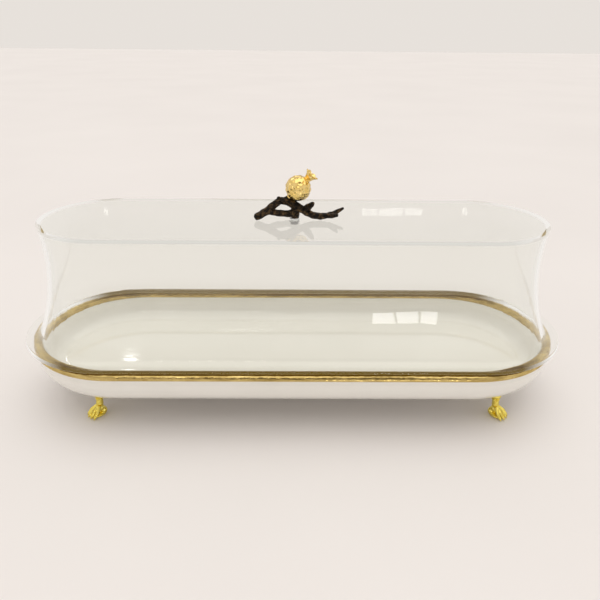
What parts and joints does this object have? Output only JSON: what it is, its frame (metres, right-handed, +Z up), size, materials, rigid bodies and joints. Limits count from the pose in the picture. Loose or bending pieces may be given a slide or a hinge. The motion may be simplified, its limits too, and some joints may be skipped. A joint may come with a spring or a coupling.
{
  "type": "cake stand dome",
  "caption": "Long racetrack ceramic serving tray with a gilt rim and paw feet, under a clear waisted lid with a branch and pomegranate handle.",
  "frame": {"origin": "on the table, below the centre of the tray", "axes": "+X along the tray's length, +Y towards its back, +Z up"},
  "size_m": [0.421, 0.15, 0.1802],
  "materials": {
    "glaze": "glossy ivory glaze",
    "lustre": "fired gold lustre over ceramic",
    "gold_plate": "bright gold plating on a small casting",
    "adhesive": "cured clear adhesive",
    "clear_acrylic": "polished clear acrylic",
    "soft_washer": "translucent soft plastic",
    "steel": "plain zinc-plated steel",
    "bronze": "dark antique patina with rubbed highlights",
    "polished_gold": "polished gold"
  },
  "bodies": {
    "base": {"ceramic_tray": "glaze", "gilt_rim": "lustre", "foot_front_left": "gold_plate", "foot_front_right": "gold_plate", "foot_back_left": "gold_plate", "foot_back_right": "gold_plate", "foot_adhesive_pads": "adhesive"},
    "lid": {"lid_dome": "clear_acrylic", "lid_seal_washer_upper": "soft_washer", "lid_seal_washer_lower": "soft_washer", "handle_washer": "steel", "handle_screw": "steel", "handle_branch": "bronze", "pomegranate": "polished_gold", "pomegranate_pin": "steel"}
  },
  "joints": [
    {"name": "lid_lift", "type": "slide", "parent": "base", "child": "lid", "axis": [0, 0, 1], "range_m": [0, 0.2]}
  ]
}
